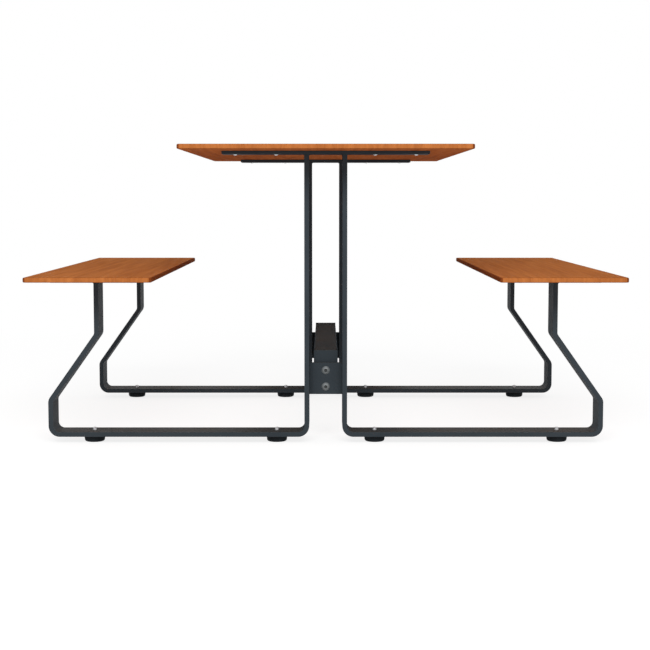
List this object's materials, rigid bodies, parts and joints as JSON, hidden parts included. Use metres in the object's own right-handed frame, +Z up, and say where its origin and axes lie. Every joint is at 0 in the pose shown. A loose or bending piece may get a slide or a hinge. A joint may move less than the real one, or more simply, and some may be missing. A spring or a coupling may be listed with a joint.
{
  "type": "table with attached benches",
  "caption": "Table with two attached benches: thin wood-look boards on bent flat-bar steel frames, joined by a low bolted stretcher and standing on round pads.",
  "frame": {"origin": "on the floor, under the middle of the table top", "axes": "+X across, from the left bench to the right bench; +Y along the boards, away from the picture's camera; +Z up"},
  "size_m": [1.47, 1.2, 0.75],
  "materials": {
    "wood_board": "satin wood-look board, grain along the length",
    "powder_coat": "fine-textured anthracite powder coat",
    "stainless": "bright stainless",
    "plated_bolt": "dull zinc plate",
    "foot_pad": "matt black"
  },
  "bodies": {
    "root": {"table_top": "wood_board", "bench_seat_left": "wood_board", "bench_seat_right": "wood_board", "leg_front_left": "powder_coat", "leg_front_right": "powder_coat", "leg_rear_left": "powder_coat", "leg_rear_right": "powder_coat", "table_bar_front": "powder_coat", "table_bar_rear": "powder_coat", "bench_bar_front_left": "powder_coat", "bench_bar_front_right": "powder_coat", "bench_bar_rear_left": "powder_coat", "bench_bar_rear_right": "powder_coat", "cross_plate_front": "powder_coat", "stretcher_end_front": "powder_coat", "cross_plate_rear": "powder_coat", "stretcher_end_rear": "powder_coat", "stretcher_tube": "powder_coat", "stretcher_bolt_front_lower": "plated_bolt", "stretcher_bolt_front_upper": "plated_bolt", "stretcher_bolt_rear_lower": "plated_bolt", "stretcher_bolt_rear_upper": "plated_bolt", "foot_front_left_inner": "foot_pad", "foot_front_left_outer": "foot_pad", "foot_front_right_inner": "foot_pad", "foot_front_right_outer": "foot_pad", "foot_rear_left_inner": "foot_pad", "foot_rear_left_outer": "foot_pad", "foot_rear_right_inner": "foot_pad", "foot_rear_right_outer": "foot_pad", "foot_bolt_front_left_inner": "stainless", "foot_bolt_front_left_outer": "stainless", "foot_bolt_front_right_inner": "stainless", "foot_bolt_front_right_outer": "stainless", "foot_bolt_rear_left_inner": "stainless", "foot_bolt_rear_left_outer": "stainless", "foot_bolt_rear_right_inner": "stainless", "foot_bolt_rear_right_outer": "stainless", "table_screw_front_left_inner": "stainless", "table_screw_front_left_outer": "stainless", "table_screw_front_right_inner": "stainless", "table_screw_front_right_outer": "stainless", "table_screw_rear_left_inner": "stainless", "table_screw_rear_left_outer": "stainless", "table_screw_rear_right_inner": "stainless", "table_screw_rear_right_outer": "stainless", "bench_screw_front_left_inner": "stainless", "bench_screw_front_left_outer": "stainless", "bench_screw_front_right_inner": "stainless", "bench_screw_front_right_outer": "stainless", "bench_screw_rear_left_inner": "stainless", "bench_screw_rear_left_outer": "stainless", "bench_screw_rear_right_inner": "stainless", "bench_screw_rear_right_outer": "stainless"}
  },
  "joints": []
}
